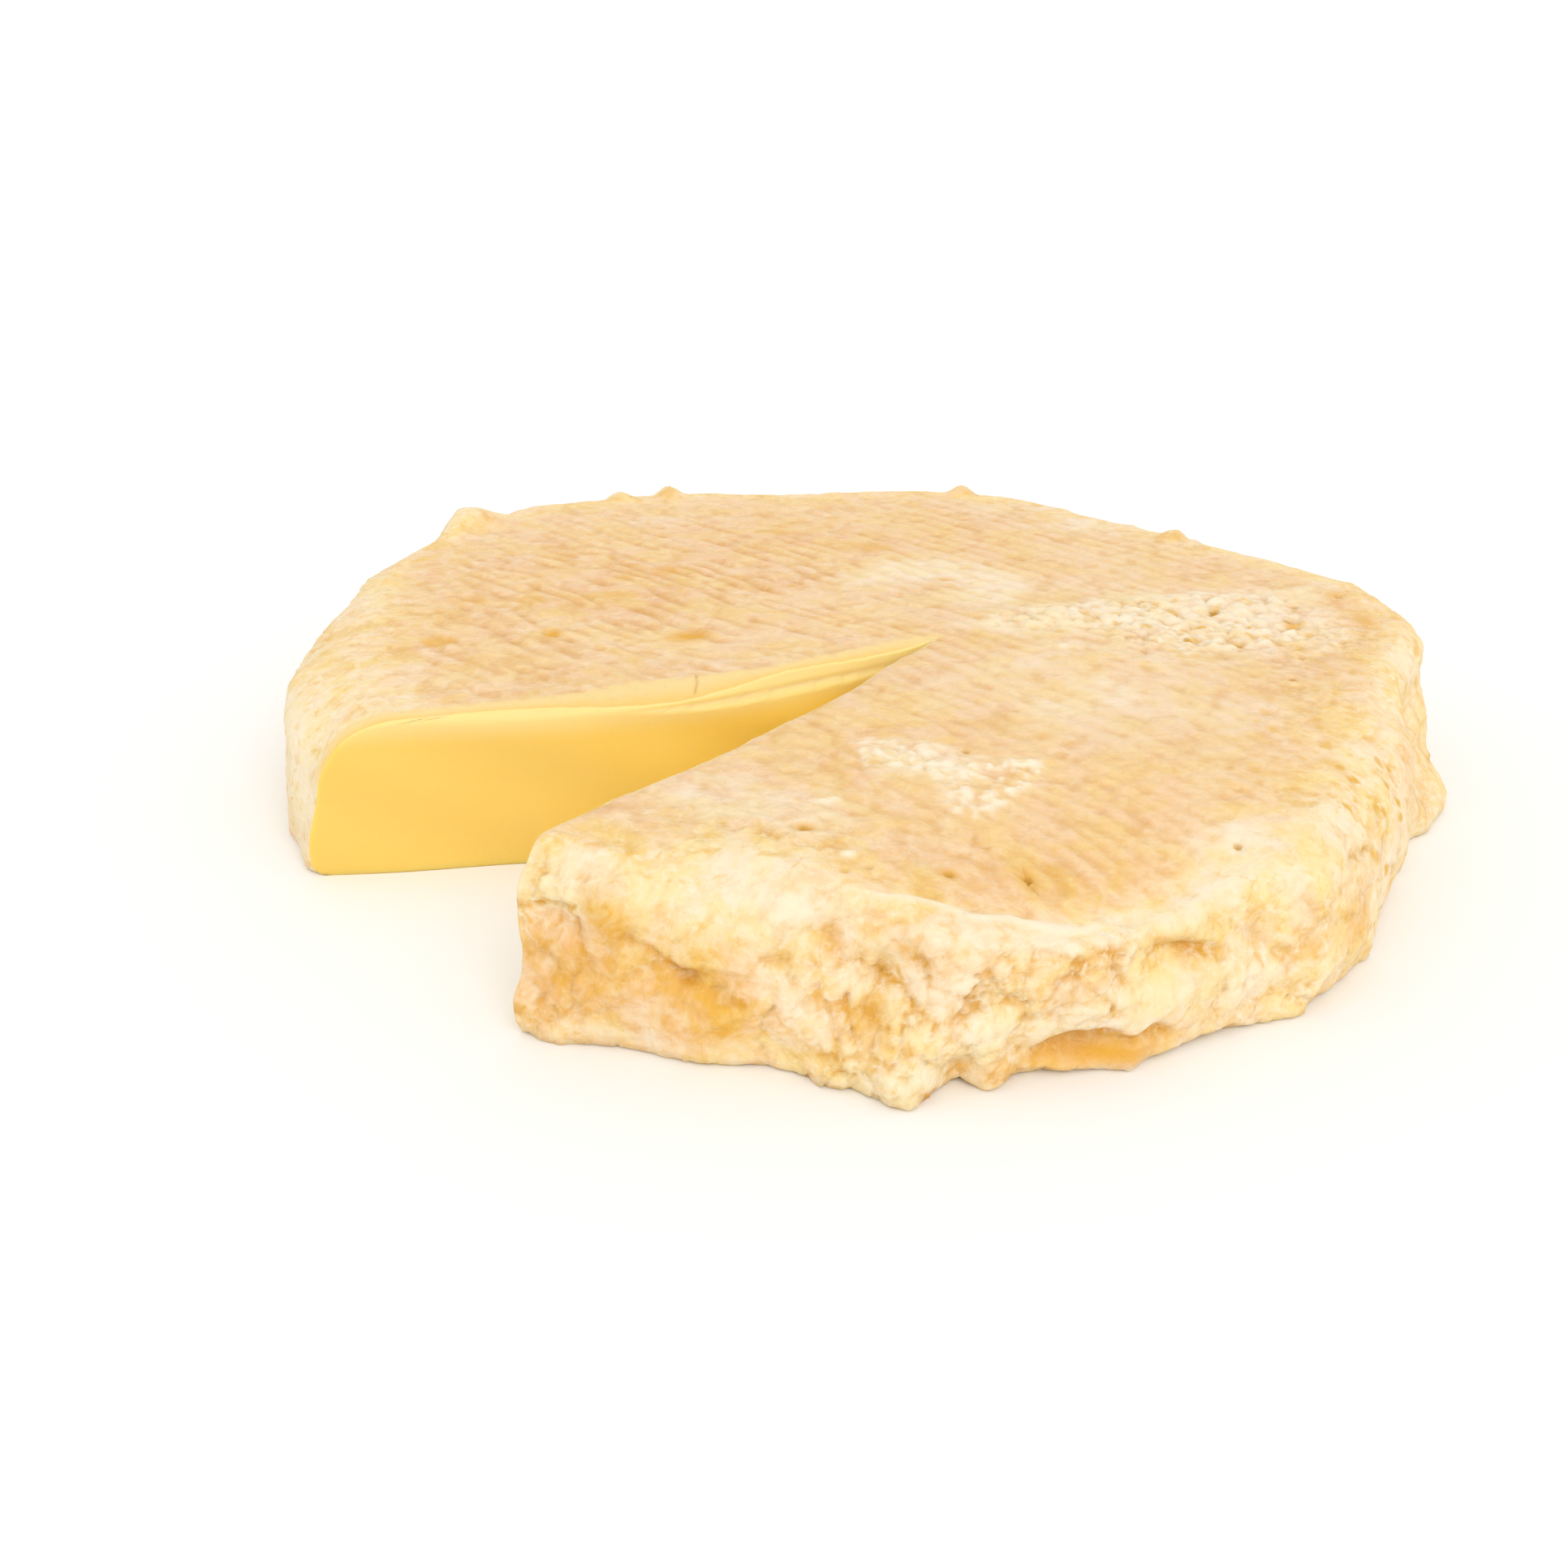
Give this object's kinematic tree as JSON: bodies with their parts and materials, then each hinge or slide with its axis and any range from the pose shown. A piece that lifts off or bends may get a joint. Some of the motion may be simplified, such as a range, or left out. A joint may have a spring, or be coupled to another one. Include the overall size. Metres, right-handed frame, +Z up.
{
  "type": "cheese wheel",
  "caption": "Flat round farmhouse cheese with a craggy washed rind, and a wedge-shaped gap cut in from the rim to near its middle.",
  "frame": {"origin": "on the surface that the cheese rests on, under the middle of its box", "axes": "+Z up through the thickness, +X to the right and +Y away from the viewer, with the cut gap opening to the left and front"},
  "size_m": [0.2186, 0.2238, 0.0338],
  "materials": {
    "rind": "soft, slightly moist washed rind, peach to cream, with butter-yellow paste on the cut faces"
  },
  "bodies": {
    "root": {"cheese_wheel": "rind"}
  },
  "joints": []
}
